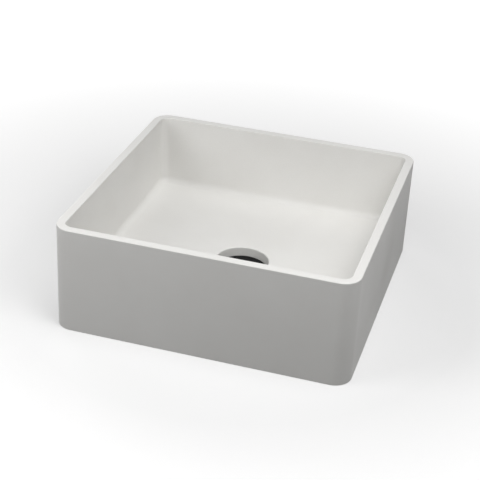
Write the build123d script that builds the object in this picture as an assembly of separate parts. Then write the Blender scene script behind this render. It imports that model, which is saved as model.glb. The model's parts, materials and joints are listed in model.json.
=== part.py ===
from build123d import *
import os
from math import cos, pi, radians, sin, sqrt, tan

# Countertop basin: a square cast bowl with a push-to-close waste in its drain recess.
# Lengths are in millimetres and angles in degrees. The base stands on the worktop plane z = 0,
# +Z is up, and the waste's axis is x = y = 0, with the tail passing down through the worktop.

# Basin
basin_width = 400.0
basin_depth = 400.0
basin_height = 149.0
wall_thickness = 12.0
outer_corner_radius = 24.0
edge_radius = 1.0
floor_fillet = 8.0
floor_slope = 1.35
slab_thickness = 13.5
pocket_fillet = 5.0

# Drain recess and the boss that carries it
recess_radius = 37.0
recess_lip_height = 37.5
recess_lip_radius = 1.8
recess_depth = 23.0
recess_fillet = 1.5
ledge_thickness = 10.0
boss_wall = 10.0
waste_hole_clearance = 1.5

# Waste body
thread_radius = 20.955
tube_wall = 2.5
flange_radius = 33.0
flange_thickness = 3.0
flange_edge_radius = 1.0
mouth_lead = 3.0
neck_depth = 1.48
neck_length = 3.0
tail_thread_length = 33.0
tail_chamfer = 1.0

# Spider that carries the cartridge inside the waste body
spider_depth = 24.0
spider_height = 7.0
spider_arms = 4
spider_arm_width = 2.6
spider_boss_radius = 9.5

# Seals, washer and nut that clamp the waste to the basin
gasket_thickness = 2.0
gasket_margin = 0.5
lower_seal_thickness = 5.0
lower_seal_radius = 31.0
lower_seal_bevel = 3.5
slip_washer_thickness = 1.5
slip_washer_radius = 28.5
backnut_flats = 52.0
backnut_height = 9.0
backnut_chamfer = 1.6
nut_run_off = 1.0

# Cartridge
stud_radius = 4.0
stud_end = 1.5
hex_flats = 18.0
hex_height = 3.0
sleeve_radius = 8.5
sleeve_bore_radius = 6.8
sleeve_floor = 1.0
sleeve_length = 26.0
rib_count = 4
rib_depth = 1.0
rib_angle = 45.0
cap_collar_height = 3.0
cap_spigot_height = 2.0
cap_collar_chamfer = 0.5
locknut_flats = 13.0
locknut_height = 4.5
locknut_chamfer = 0.6

# Stem seal
oring_section_radius = 0.9
oring_groove_width = 2.0

# Plunger and index ring
stem_radius = 3.0
stem_chamfer = 0.4
crown_height = 3.0
ring_height = 5.0
lug_height = 3.0
lug_angle = 33.0
ring_seat_depth = 2.0
ring_seat_radius = 3.6

# Return spring
wire_radius = 0.45
spring_coil_radius = 4.9
spring_turns = 5

# Plug
cap_radius = 35.0
cap_rise = 5.7
cap_plate = 1.8
cap_skirt_wall = 2.0
cap_edge_radius = 1.0
cap_boss_radius = 6.5
cap_boss_depth = 3.0
carrier_plate = 2.0
carrier_hub_radius = 9.0
carrier_hub_depth = 3.0
seal_radius = 28.5
seal_width = 4.5
seal_grip = 1.0
plug_nut_flats = 10.0
plug_nut_height = 3.0
plug_nut_chamfer = 0.5
thread_engagement = 3.4

# Travel of the plug from closed
open_travel = 7.0
press_travel = 1.5

# Clearances
thread_clearance = 0.05
running_clearance = 0.05
slide_clearance = 0.3
stop_clearance = 0.3
seat_clearance = 0.1
cut_margin = 5.0

# Levels of the basin, worked out from its sizes
ledge_level = recess_lip_height - recess_depth
boss_underside = ledge_level - ledge_thickness
slab_underside = recess_lip_height - slab_thickness
inner_width = basin_width - 2 * wall_thickness
inner_depth = basin_depth - 2 * wall_thickness
inner_corner_radius = outer_corner_radius - wall_thickness
boss_radius = recess_radius + boss_wall
waste_hole_radius = thread_radius + waste_hole_clearance

# Levels of the waste, worked upwards and downwards from the ledge
flange_underside = ledge_level + gasket_thickness
flange_top = flange_underside + flange_thickness
tube_bore_radius = thread_radius - tube_wall
lower_seal_underside = boss_underside - lower_seal_thickness
washer_underside = lower_seal_underside - slip_washer_thickness
backnut_underside = washer_underside - backnut_height
neck_top = backnut_underside - nut_run_off
neck_bottom = neck_top - neck_length
tail_end = neck_bottom - tail_thread_length
spider_top = -spider_depth
spider_underside = spider_top - spider_height

# Levels of the cartridge, worked upwards from the spider
hex_top = spider_top + hex_height
sleeve_inner_floor = hex_top + sleeve_floor
sleeve_top = hex_top + sleeve_length
spigot_underside = sleeve_top - cap_spigot_height
cartridge_top = sleeve_top + cap_collar_height
locknut_underside = spider_underside - locknut_height

# Levels of the moving pieces with the plug closed
crown_top = spigot_underside - open_travel - stop_clearance
crown_underside = crown_top - crown_height
ring_underside = crown_underside - ring_height
lug_top = ring_underside + lug_height
rib_end = lug_top + slide_clearance
guide_radius = sleeve_bore_radius - slide_clearance
core_radius = sleeve_bore_radius - rib_depth - slide_clearance
cap_top = flange_top + cap_rise
cap_plate_underside = cap_top - cap_plate
carrier_underside = flange_top + press_travel + stop_clearance
cap_skirt_underside = carrier_underside
cap_boss_underside = cap_plate_underside - cap_boss_depth
hub_underside = carrier_underside - carrier_hub_depth
plug_nut_underside = hub_underside - plug_nut_height
stem_top = cap_boss_underside + thread_engagement


def block(width, depth, corner_radius, bottom, top):
    """A block with rounded vertical corners between two levels."""
    outline = RectangleRounded(width, depth, corner_radius)
    return extrude(Plane.XY.offset(bottom) * outline, top - bottom)


def disc(radius, bottom, top):
    """A solid cylinder on the waste's axis between two levels."""
    return Pos(0, 0, bottom) * Cylinder(radius, top - bottom, align=(Align.CENTER, Align.CENTER, Align.MIN))


def ring(inner_radius, outer_radius, bottom, top):
    """A flat ring on the waste's axis between two levels."""
    return disc(outer_radius, bottom, top) - disc(inner_radius, bottom - cut_margin, top + cut_margin)


def turned(points):
    """A piece turned about the waste's axis from a closed outline of radius and height."""
    return revolve(make_face(Plane.XZ * Polyline(*points, close=True)), Axis.Z)


def hex_nut(flats, bore_radius, bottom, top, chamfer_size):
    """A hexagon nut with the corners of both faces turned away."""
    corner_radius = flats / sqrt(3)
    hexagon = extrude(Plane.XY.offset(bottom) * RegularPolygon(corner_radius, 6), top - bottom)
    turned_blank = chamfer(disc(corner_radius, bottom, top).edges().filter_by(GeomType.CIRCLE), chamfer_size)
    return (hexagon & turned_blank) - disc(bore_radius, bottom - cut_margin, top + cut_margin)


def sector(radius, angle, bottom, top, direction):
    """A wedge of a cylinder, centred on a direction from the axis."""
    half = radians(angle) / 2
    far = radius / cos(half)
    corners = [(0, 0), (far * cos(half), -far * sin(half)), (far * cos(half), far * sin(half))]
    wedge = extrude(Plane.XY.offset(bottom) * make_face(Polyline(*corners, close=True)), top - bottom)
    return Rot(0, 0, direction) * wedge & disc(radius, bottom, top)


def circles(piece, radius):
    """The round edges of a piece that have a given radius."""
    return piece.edges().filter_by(GeomType.CIRCLE).filter_by(lambda edge: abs(edge.radius - radius) < 0.01)


def floor_level(radius):
    """Height of the sloping floor at a distance from the waste's axis."""
    return recess_lip_height + (radius - recess_radius) * tan(radians(floor_slope))


def bowl_space():
    """The inside of the bowl: straight walls over a floor that falls to the drain as a shallow cone."""
    reach = sqrt(inner_width**2 + inner_depth**2)
    space = block(inner_width, inner_depth, inner_corner_radius, ledge_level, basin_height + cut_margin)
    below_floor = turned([
        (0, ledge_level - cut_margin),
        (reach, ledge_level - cut_margin),
        (reach, floor_level(reach)),
        (recess_radius, recess_lip_height),
        (0, recess_lip_height),
    ])
    space = space - below_floor
    axis_line = Line((0, 0, ledge_level), (0, 0, basin_height))
    slope_edges = space.faces().filter_by(GeomType.CONE)[0].edges()
    junction = slope_edges.filter_by(lambda edge: edge.distance_to(axis_line) > recess_radius + floor_fillet)
    return fillet(junction, floor_fillet)


def pocket_space():
    """The hollow under the slab, round the boss that carries the waste."""
    pocket = block(inner_width, inner_depth, inner_corner_radius, -cut_margin, slab_underside)
    pocket = pocket - disc(boss_radius, boss_underside, slab_underside + cut_margin)
    return fillet(pocket.edges().group_by(Axis.Z)[-1], pocket_fillet)


def make_basin():
    """The cast basin: walls, sloping floor, drain recess, ledge for the waste, and hollow underside."""
    body = block(basin_width, basin_depth, outer_corner_radius, 0, basin_height)
    body = body - bowl_space() - pocket_space()
    recess = disc(recess_radius, ledge_level, recess_lip_height + cut_margin)
    recess = fillet(recess.edges().group_by(Axis.Z)[0], recess_fillet)
    body = body - recess
    body = body - disc(waste_hole_radius, boss_underside - cut_margin, ledge_level + cut_margin)
    body = fillet(body.edges().group_by(Axis.Z)[-1], edge_radius)
    body = fillet(body.edges().group_by(Axis.Z)[0], edge_radius)
    return fillet(circles(body, recess_radius).sort_by(Axis.Z)[-1], recess_lip_radius)


def make_waste_body():
    """The flanged tube with its two threaded stretches, and the spider that carries the cartridge."""
    neck_radius = thread_radius - neck_depth
    body = turned([
        (tube_bore_radius + mouth_lead, flange_top),
        (flange_radius, flange_top),
        (flange_radius, flange_underside),
        (thread_radius, flange_underside),
        (thread_radius, neck_top),
        (neck_radius, neck_top),
        (neck_radius, neck_bottom),
        (thread_radius, neck_bottom),
        (thread_radius, tail_end + tail_chamfer),
        (thread_radius - tail_chamfer, tail_end),
        (tube_bore_radius, tail_end),
        (tube_bore_radius, flange_top - mouth_lead),
    ])
    body = fillet(circles(body, flange_radius), flange_edge_radius)
    arm_reach = tube_bore_radius + tube_wall / 2
    spider = disc(spider_boss_radius, spider_underside, spider_top)
    for index in range(spider_arms):
        arm = Pos(arm_reach / 2, 0, 0) * Box(arm_reach, spider_arm_width, spider_height)
        turn = Rot(0, 0, 360 * index / spider_arms)
        spider = spider + Pos(0, 0, (spider_top + spider_underside) / 2) * (turn * arm)
    stud_hole_radius = stud_radius + thread_clearance
    return body + spider - disc(stud_hole_radius, spider_underside - cut_margin, spider_top + cut_margin)


def make_flange_gasket():
    """The flat rubber ring between the flange and the ledge."""
    inner = waste_hole_radius + gasket_margin
    return ring(inner, flange_radius - gasket_margin, ledge_level, flange_underside)


def make_lower_seal():
    """The bevelled rubber ring pressed up against the boss from below."""
    inner = thread_radius + thread_clearance
    return turned([
        (inner, boss_underside),
        (lower_seal_radius, boss_underside),
        (lower_seal_radius, boss_underside - (lower_seal_thickness - lower_seal_bevel)),
        (lower_seal_radius - lower_seal_bevel, lower_seal_underside),
        (inner, lower_seal_underside),
    ])


def make_slip_washer():
    """The thin plastic washer that lets the nut turn against the rubber ring."""
    return ring(thread_radius + thread_clearance, slip_washer_radius, washer_underside, lower_seal_underside)


def make_backnut():
    """The large hexagon nut that clamps the waste to the basin."""
    return hex_nut(
        backnut_flats, thread_radius + thread_clearance, backnut_underside, washer_underside, backnut_chamfer
    )


def make_cartridge_body():
    """The sleeve with its hexagon foot and stud, and the ribs that guide the index ring."""
    stud_bottom = locknut_underside - stud_end
    corner_radius = hex_flats / sqrt(3)
    foot = extrude(Plane.XY.offset(spider_top) * RegularPolygon(corner_radius, 6), hex_height)
    body = foot + disc(sleeve_radius, hex_top, sleeve_top) + disc(stud_radius, stud_bottom, spider_top)
    body = body - disc(sleeve_bore_radius, sleeve_inner_floor, sleeve_top + cut_margin)
    ribs = ring(sleeve_bore_radius - rib_depth, sleeve_bore_radius + rib_depth / 2, rib_end, spigot_underside)
    for index in range(rib_count):
        direction = 360 * (index + 0.5) / rib_count
        body = body + (ribs & sector(sleeve_radius, rib_angle, rib_end, spigot_underside, direction))
    return body


def make_cartridge_cap():
    """The lid pressed into the sleeve, which guides the stem and holds its seal."""
    spigot_radius = sleeve_bore_radius - thread_clearance
    groove_middle = sleeve_top + cap_collar_height / 2
    lid = disc(sleeve_radius, sleeve_top, cartridge_top)
    lid = chamfer(lid.edges().group_by(Axis.Z)[-1], cap_collar_chamfer)
    lid = lid + disc(spigot_radius, spigot_underside, sleeve_top)
    stem_hole_radius = stem_radius + running_clearance
    lid = lid - disc(stem_hole_radius, spigot_underside - cut_margin, cartridge_top + cut_margin)
    groove_radius = stem_hole_radius + 2 * oring_section_radius + seat_clearance
    groove_half = oring_groove_width / 2
    return lid - disc(groove_radius, groove_middle - groove_half, groove_middle + groove_half)


def make_stem_oring():
    """The rubber ring in the lid's groove, round the stem."""
    middle = sleeve_top + cap_collar_height / 2
    centre_radius = stem_radius + running_clearance + oring_section_radius
    return Pos(0, 0, middle) * Torus(centre_radius, oring_section_radius)


def make_cartridge_locknut():
    """The nut under the spider that holds the cartridge's stud."""
    return hex_nut(
        locknut_flats, stud_radius + thread_clearance, locknut_underside, spider_underside, locknut_chamfer
    )


def guided(core, bottom, top):
    """A round core with a lug in each slot of the sleeve."""
    piece = core
    for index in range(rib_count):
        lug = sector(guide_radius, lug_angle, bottom, top, 360 * index / rib_count)
        piece = piece + lug
    return piece


def make_plunger():
    """The stem with the crown that pushes on the index ring and carries the plug on its thread."""
    crown = guided(disc(core_radius, crown_underside, crown_top), crown_underside, crown_top)
    tip_radius = ring_seat_radius - slide_clearance
    tip = disc(tip_radius, crown_underside - ring_seat_depth, crown_underside)
    stem = disc(stem_radius, crown_top, stem_top)
    stem = chamfer(stem.edges().group_by(Axis.Z)[-1], stem_chamfer)
    return crown + tip + stem


def make_index_ring():
    """The ring under the crown whose lugs hang under the sleeve's ribs or rise between them."""
    core = disc(core_radius, ring_underside, crown_underside)
    body = guided(core, ring_underside, lug_top)
    return body - disc(ring_seat_radius, crown_underside - ring_seat_depth - slide_clearance, crown_top)


def make_return_spring():
    """The wound spring between the sleeve's floor and the index ring, compressed with the plug closed."""
    bottom = sleeve_inner_floor + wire_radius + seat_clearance
    top = ring_underside - wire_radius - seat_clearance
    pitch = (top - bottom) / spring_turns
    arcs = []
    for half_turn in range(2 * spring_turns):
        side = 1 if half_turn % 2 == 0 else -1
        start = bottom + half_turn * pitch / 2
        arcs.append(ThreePointArc(
            (side * spring_coil_radius, 0, start),
            (0, side * spring_coil_radius, start + pitch / 4),
            (-side * spring_coil_radius, 0, start + pitch / 2),
        ))
    print("return_spring least gap between turns", round(least_gap(pitch), 3))
    path = Wire(Curve(arcs).edges())
    section = Plane(origin=path @ 0, z_dir=path % 0) * Circle(wire_radius)
    return sweep(section, path=path)


def least_gap(pitch):
    """The smallest gap between points of the wire that lie half a turn or more apart along it."""
    steps = 60
    points = []
    for step in range(4 * steps + 1):
        half_turn = step // steps
        angle = pi * (step / steps - half_turn)
        outward = spring_coil_radius * (1 - 2 * (half_turn % 2))
        height = half_turn * pitch / 2 + pitch / 4 * (1 - cos(angle))
        points.append(Vector(outward * cos(angle), outward * sin(angle), height))
    apart = [(other - point).length for index, point in enumerate(points) for other in points[index + steps:]]
    return min(apart) - 2 * wire_radius


def make_plug_locknut():
    """The nut on the stem that locks the plug at its height."""
    return hex_nut(
        plug_nut_flats, stem_radius + thread_clearance, plug_nut_underside, hub_underside, plug_nut_chamfer
    )


def make_plug_carrier():
    """The plastic plate under the cap that holds the seal, clamped between the cap's boss and the nut."""
    plate_radius = cap_radius - cap_skirt_wall - slide_clearance
    plate = disc(plate_radius, carrier_underside, carrier_underside + carrier_plate)
    hub = disc(carrier_hub_radius, hub_underside, carrier_underside)
    groove_outer = seal_radius + seat_clearance
    groove_inner = seal_radius - seal_width - seat_clearance
    groove = ring(groove_inner, groove_outer, carrier_underside - cut_margin, carrier_underside + seal_grip)
    carrier = plate + hub - groove
    socket = disc(cap_boss_radius + slide_clearance, cap_boss_underside, cap_top)
    return carrier - socket - disc(stem_radius + thread_clearance, hub_underside - cut_margin, cap_top)


def make_plug_seal():
    """The soft ring in the carrier's groove that closes on the flange."""
    inner = seal_radius - seal_width
    middle = seal_radius - seal_width / 2
    lip_bottom = flange_top + seat_clearance
    return turned([
        (inner, carrier_underside + seal_grip),
        (seal_radius, carrier_underside + seal_grip),
        (seal_radius, carrier_underside),
        (middle + seal_width / 4, lip_bottom),
        (middle - seal_width / 4, lip_bottom),
        (inner, carrier_underside),
    ])


def make_plug_cap():
    """The round cover seen in the drain, with a skirt and a threaded boss below."""
    cap = disc(cap_radius, cap_skirt_underside, cap_top)
    cap = fillet(cap.edges().group_by(Axis.Z)[-1], cap_edge_radius)
    cap = cap - disc(cap_radius - cap_skirt_wall, cap_skirt_underside - cut_margin, cap_plate_underside)
    cap = cap + disc(cap_boss_radius, cap_boss_underside, cap_plate_underside)
    thread_hole_radius = stem_radius + thread_clearance
    return cap - disc(thread_hole_radius, cap_boss_underside - cut_margin, stem_top + stop_clearance)


def write(name, piece):
    """Writes one piece as a STEP file under its node's name."""
    solids = piece.solids()
    export_step(solids[0] if len(solids) == 1 else Compound(solids), f"parts/{name}.step")


makers = {
    "basin": make_basin,
    "waste_body": make_waste_body,
    "flange_gasket": make_flange_gasket,
    "lower_seal": make_lower_seal,
    "slip_washer": make_slip_washer,
    "backnut": make_backnut,
    "cartridge_body": make_cartridge_body,
    "cartridge_cap": make_cartridge_cap,
    "cartridge_locknut": make_cartridge_locknut,
    "stem_oring": make_stem_oring,
    "return_spring": make_return_spring,
    "index_ring": make_index_ring,
    "plunger": make_plunger,
    "plug_locknut": make_plug_locknut,
    "plug_carrier": make_plug_carrier,
    "plug_seal": make_plug_seal,
    "plug_cap": make_plug_cap,
}

os.makedirs("parts", exist_ok=True)
for node_name, make_piece in makers.items():
    write(node_name, make_piece())
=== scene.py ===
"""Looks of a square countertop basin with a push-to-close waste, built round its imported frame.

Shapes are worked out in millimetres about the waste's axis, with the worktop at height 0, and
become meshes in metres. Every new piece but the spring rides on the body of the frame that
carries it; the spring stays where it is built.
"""

import json
import logging
import math
from dataclasses import dataclass
from enum import Enum

import bpy
import numpy as np
from mathutils import Matrix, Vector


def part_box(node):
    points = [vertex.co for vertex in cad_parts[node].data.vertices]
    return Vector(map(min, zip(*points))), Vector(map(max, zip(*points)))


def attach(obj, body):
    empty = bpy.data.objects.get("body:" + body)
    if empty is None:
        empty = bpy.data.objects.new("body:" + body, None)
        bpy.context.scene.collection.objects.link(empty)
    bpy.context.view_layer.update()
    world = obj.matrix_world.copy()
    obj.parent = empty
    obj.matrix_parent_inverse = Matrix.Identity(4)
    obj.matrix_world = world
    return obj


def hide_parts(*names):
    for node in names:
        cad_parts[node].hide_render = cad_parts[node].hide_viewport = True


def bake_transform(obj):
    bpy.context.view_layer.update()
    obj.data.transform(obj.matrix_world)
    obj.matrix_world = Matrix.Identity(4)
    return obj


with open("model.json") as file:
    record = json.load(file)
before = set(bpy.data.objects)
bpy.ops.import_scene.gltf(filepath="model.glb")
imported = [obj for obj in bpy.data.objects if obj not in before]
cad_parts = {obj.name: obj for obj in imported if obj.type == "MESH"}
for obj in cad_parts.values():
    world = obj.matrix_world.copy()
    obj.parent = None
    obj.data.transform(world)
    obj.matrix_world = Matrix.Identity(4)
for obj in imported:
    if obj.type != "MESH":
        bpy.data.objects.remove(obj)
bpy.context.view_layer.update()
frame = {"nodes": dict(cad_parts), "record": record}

MM = 0.001  # one millimetre in metres
TOUCH = 1e-3  # lengths that differ by less than this are the same
SHARP_ANGLE = 32.0  # degrees between two faces above which their edge is shaded sharp
FULL_BEND = 8.0  # degrees at one point of an outline that count as fully bent
WHITE = (1, 1, 1, 1)
FLOAT, COLOR, VECTOR = "NodeSocketFloat", "NodeSocketColor", "NodeSocketVector"
LOG = logging.getLogger("basin")

Socket = bpy.types.NodeSocket
Colour = tuple[float, float, float, float]  # red, green, blue and alpha
Place = tuple[float, float, float]  # in metres
Corner = tuple[float, float, float]  # radius, height and fillet radius


class Body(Enum):
    """The two bodies of the frame."""

    BASIN = "basin"
    PLUG = "plug"


class Slot(Enum):
    """Material slots of the record."""

    CAST = "mineral_cast"
    BLACK = "black_coating"
    BRASS = "brass"
    SPRING = "spring_steel"
    RUBBER = "rubber"
    NYLON = "white_nylon"
    ACETAL = "acetal"
    PLASTIC = "black_plastic"


@dataclass(frozen=True)
class Span:
    """How far a frame node reaches: its radius, or half its width if it is square, and two heights."""

    radius: float
    low: float
    high: float


def span_of(node: str) -> Span:
    """Reads how far a frame node reaches along +X, down and up.

    Args:
        node: Name of the node.

    Returns:
        Its span.
    """
    low, high = (np.array(corner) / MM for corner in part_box(node))
    return Span(float(high[0]), float(low[2]), float(high[2]))


# Numbers on a curve


def smooth_step(low: float, high: float, value: np.ndarray) -> np.ndarray:
    """Rises from 0 at low to 1 at high along 3t squared minus 2t cubed.

    Args:
        low: Value at which the step starts.
        high: Value at which it has ended.
        value: Where it is read.

    Returns:
        The height of the step at each value.
    """
    share = np.clip((value - low) / (high - low), 0.0, 1.0)
    return share * share * (3.0 - 2.0 * share)


def rounded_outline(corners: list[Corner], steps: int, support: float = 0.12) -> np.ndarray:
    """A closed outline whose corners are rounded by tangent arcs.

    Each corner has unit directions a and b to its neighbours and half the angle h between them.
    The arc's centre lies fillet / sin(h) from the corner along their sum, and its points turn
    evenly from one tangent point to the other. A point just outside each tangent point keeps the
    shading of the straight stretch flat.

    Args:
        corners: Radius, height and fillet radius of each corner, anticlockwise.
        steps: Segments in each arc.
        support: Distance of the extra point outside each tangent point.

    Returns:
        The outline's points, one row of radius and height each.
    """
    table = np.array(corners, float)
    point, fillet = table[:, :2], table[:, 2]
    to_last = np.roll(point, 1, axis=0) - point
    to_next = np.roll(point, -1, axis=0) - point
    a = to_last / np.linalg.norm(to_last, axis=1, keepdims=True)
    b = to_next / np.linalg.norm(to_next, axis=1, keepdims=True)
    half = np.arccos(np.clip((a * b).sum(axis=1), -1.0, 1.0)) / 2
    reach = (fillet / np.tan(half))[:, None]
    middle = (a + b) / np.linalg.norm(a + b, axis=1, keepdims=True)
    centre = point + middle * (fillet / np.sin(half))[:, None]
    turn = (math.pi - 2 * half)[:, None, None]
    share = np.linspace(0.0, 1.0, steps + 1)[None, :, None]
    first = (point + a * reach - centre)[:, None, :]
    last = (point + b * reach - centre)[:, None, :]
    swung = np.sin((1 - share) * turn) * first + np.sin(share * turn) * last
    arc = centre[:, None, :] + swung / np.sin(turn)
    before = (point + a * (reach + support))[:, None, :]
    after = (point + b * (reach + support))[:, None, :]
    rows = np.concatenate([before, arc, after], axis=1)
    keep = np.ones(rows.shape[:2], bool)
    sharp = fillet < TOUCH
    rows[sharp, 1] = point[sharp]
    keep[sharp] = False
    keep[sharp, 1] = True
    return rows[keep]


def band_outline(
    inner: float, outer: float, span: Span, inner_edge: float, outer_edge: float
) -> np.ndarray:
    """The section of a flat ring: a rectangle with small rounded corners.

    Args:
        inner: Radius of the bore.
        outer: Outer radius.
        span: The node that gives the two heights.
        inner_edge: Radius of the corners at the bore.
        outer_edge: Radius of the outer corners.

    Returns:
        The outline's points.
    """
    return rounded_outline([
        (inner, span.low, inner_edge),
        (outer, span.low, outer_edge),
        (outer, span.high, outer_edge),
        (inner, span.high, inner_edge),
    ], steps=3, support=0.05)


def quarter_arc(radius: float, steps: int) -> tuple[np.ndarray, np.ndarray]:
    """A quarter of a circle between two straight lines at right angles.

    Args:
        radius: Radius of the arc.
        steps: Segments in the arc.

    Returns:
        The distances of its points from the two lines: the radius times one minus the sine, which
        falls to 0, and times one minus the cosine, which rises from 0.
    """
    angle = np.radians(np.linspace(0, 90, steps + 1))
    return radius * (1 - np.sin(angle)), radius * (1 - np.cos(angle))


def stacked(*parts: np.ndarray | list) -> np.ndarray:
    """Puts lists and arrays of rows one under the other."""
    return np.concatenate([np.asarray(part, float) for part in parts])


def subdivided(outline: np.ndarray, spacing: np.ndarray | float) -> np.ndarray:
    """The same closed outline with evenly spaced points added on its long stretches.

    Args:
        outline: Points of a closed outline.
        spacing: Largest distance between points, one for all stretches or one for each.

    Returns:
        The outline with every stretch cut into equal parts no longer than its spacing.
    """
    following = np.roll(outline, -1, axis=0)
    length = np.linalg.norm(following - outline, axis=1)
    count = np.maximum(1, np.ceil(length / spacing)).astype(int)
    index = np.repeat(np.arange(len(outline)), count)
    start = np.repeat(np.cumsum(count) - count, count)
    share = ((np.arange(len(index)) - start) / count[index])[:, None]
    return outline[index] * (1 - share) + following[index] * share


# Outlines seen from above


@dataclass(frozen=True)
class Plan:
    """An outline seen from above, with the outward direction at each of its points."""

    points: np.ndarray
    outward: np.ndarray

    def inset(self, distance: np.ndarray) -> np.ndarray:
        """The outline moved inwards by each distance: one row of points for each distance."""
        return self.points[None] - np.asarray(distance, float)[:, None, None] * self.outward[None]

    def rays(self) -> np.ndarray:
        """The direction of each point as seen from the axis."""
        return self.points / np.linalg.norm(self.points, axis=1, keepdims=True)


def circle_plan(radius: float, steps: int) -> Plan:
    """A circle about the axis with evenly spaced points.

    Args:
        radius: Radius of the circle.
        steps: Number of points.

    Returns:
        The outline, anticlockwise.
    """
    angle = np.arange(steps) * 2 * math.pi / steps
    outward = np.stack([np.cos(angle), np.sin(angle)], axis=1)
    return Plan(radius * outward, outward)


def polygon_plan(sides: int, flats: float, corner: float, corner_steps: int, side_steps: int) -> Plan:
    """A regular polygon with round corners.

    A circle of the corner's radius rolls inside the polygon: its centre runs along a smaller
    polygon, and each point lies one corner radius out from the centre. Along a side the centre
    moves and the direction stays, and at a corner the centre stays and the direction turns.

    Args:
        sides: Number of sides. The first faces +X.
        flats: Distance across two opposite sides.
        corner: Radius of the corners.
        corner_steps: Segments in each corner.
        side_steps: Segments in each side.

    Returns:
        The outline, anticlockwise.
    """
    turn = 2 * math.pi / sides
    core = flats / 2 - corner
    half_side = core * math.tan(turn / 2)
    along = np.concatenate([np.linspace(-1, 1, side_steps + 1)[:-1], np.ones(corner_steps)]) * half_side
    bend = np.concatenate([np.zeros(side_steps), np.linspace(0, turn, corner_steps + 1)[:-1]])
    facing = np.arange(sides)[:, None] * turn
    cosine, sine = np.cos(facing), np.sin(facing)
    centre = np.stack([core * cosine - along * sine, core * sine + along * cosine], axis=-1)
    outward = np.stack([np.cos(facing + bend), np.sin(facing + bend)], axis=-1)
    return Plan((centre + corner * outward).reshape(-1, 2), outward.reshape(-1, 2))


def between(first: np.ndarray, last: np.ndarray, count: int) -> np.ndarray:
    """Rings evenly spaced between two rings.

    At a share of the way, a ring is the first times one minus the share, plus the last times it.

    Args:
        first: The ring before them.
        last: The ring after them.
        count: How many there are.

    Returns:
        The rings, without the two given.
    """
    share = np.linspace(0, 1, count + 2)[1:-1, None, None]
    return first * (1 - share) + last * share


def lifted(xy: np.ndarray, height: np.ndarray) -> np.ndarray:
    """Gives points their heights, from a row for each ring with one value or one for each point."""
    level = np.broadcast_to(height, xy.shape[:2])
    return np.concatenate([xy, level[..., None]], axis=2)


def bore_rings(plan: Plan, radius: float, lead: float, low: float, high: float) -> np.ndarray:
    """Circles of a round bore that widens at both ends, from the top down.

    Args:
        plan: The outline of the piece, whose rays give the points.
        radius: Radius of the bore.
        lead: How much it widens at an end, and over which depth.
        low: Height of the lower end.
        high: Height of the upper end.

    Returns:
        Points in the order ring, step, axis.
    """
    radii = radius + np.array([lead, 0.0, 0.0, lead])
    levels = np.array([high, high - lead, low + lead, low])
    return lifted(radii[:, None, None] * plan.rays()[None], levels[:, None])


# Meshes


def add_object(name: str, data: bpy.types.ID) -> bpy.types.Object:
    """Makes an object at the origin and adds it to the scene.

    Args:
        name: Name of the object.
        data: The mesh, light or camera that it holds.

    Returns:
        The new object.
    """
    thing = bpy.data.objects.new(name, data)
    bpy.context.scene.collection.objects.link(thing)
    return thing


def grid_faces(rings: int, around: int, closed: bool) -> np.ndarray:
    """Quads between neighbouring rings of points.

    Args:
        rings: Number of rings.
        around: Points in each ring.
        closed: Whether the last ring is joined to the first.

    Returns:
        A row of four point numbers for each quad.
    """
    ring = np.arange(rings if closed else rings - 1)[:, None]
    step = np.arange(around)[None, :]
    up, on = (ring + 1) % rings, (step + 1) % around
    corners = [ring * around + step, ring * around + on, up * around + on, up * around + step]
    return np.stack(corners, axis=-1).reshape(-1, 4)


def make_piece(name: str, rings: np.ndarray, poles: np.ndarray | None = None) -> bpy.types.Object:
    """Makes a closed mesh from rings of points.

    The rings run anticlockwise and follow each other up the outside and down the inside, so that
    faces look outwards. Without poles the last ring joins the first. With poles, one point closes
    the first ring and another closes the last.

    Args:
        name: Name of the piece.
        rings: Points in millimetres, in the order ring, step, axis.
        poles: The two closing points, one row each, if the shape has no bore.

    Returns:
        The new object, at the origin.
    """
    count, around = rings.shape[:2]
    points = rings.reshape(-1, 3) * MM
    faces = grid_faces(count, around, poles is None).tolist()
    if poles is not None:
        bottom, top = len(points), len(points) + 1
        points = np.concatenate([points, poles * MM])
        step = np.arange(around)
        on = (step + 1) % around
        last = (count - 1) * around
        faces += np.stack([np.full(around, bottom), on, step], axis=1).tolist()
        faces += np.stack([last + step, last + on, np.full(around, top)], axis=1).tolist()
    mesh = bpy.data.meshes.new(name)
    mesh.from_pydata(points.tolist(), [], faces)
    mesh.polygons.foreach_set("use_smooth", np.ones(len(mesh.polygons), bool))
    mesh.set_sharp_from_angle(angle=math.radians(SHARP_ANGLE))
    mesh.update()
    return add_object(name, mesh)


def mark_edges(piece: bpy.types.Object, share: np.ndarray) -> None:
    """Stores how exposed each point is to wear, from 0 to 1, in the attribute edge."""
    attribute = piece.data.attributes.new("edge", "FLOAT", "POINT")
    attribute.data.foreach_set("value", share.astype(np.float32).ravel())


def outline_turn(outline: np.ndarray, closed: bool = True) -> np.ndarray:
    """How sharply an outline turns outwards at each point.

    The cross product of the stretches before and after a point, over their lengths, is the sine
    of the bend. It is set against the sine of a full bend.

    Args:
        outline: Points of the outline, up the outside and down the inside.
        closed: Whether the last point is followed by the first.

    Returns:
        The share at each point, from 0 on straights to 1 on arcs.
    """
    last, following = np.roll(outline, 1, axis=0), np.roll(outline, -1, axis=0)
    a, b = outline - last, following - outline
    cross = a[:, 0] * b[:, 1] - a[:, 1] * b[:, 0]
    length = np.linalg.norm(a, axis=1) * np.linalg.norm(b, axis=1)
    turn = np.clip(cross / length / math.sin(math.radians(FULL_BEND)), 0.0, 1.0)
    if not closed:
        turn[[0, -1]] = 0.0
    return turn


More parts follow.
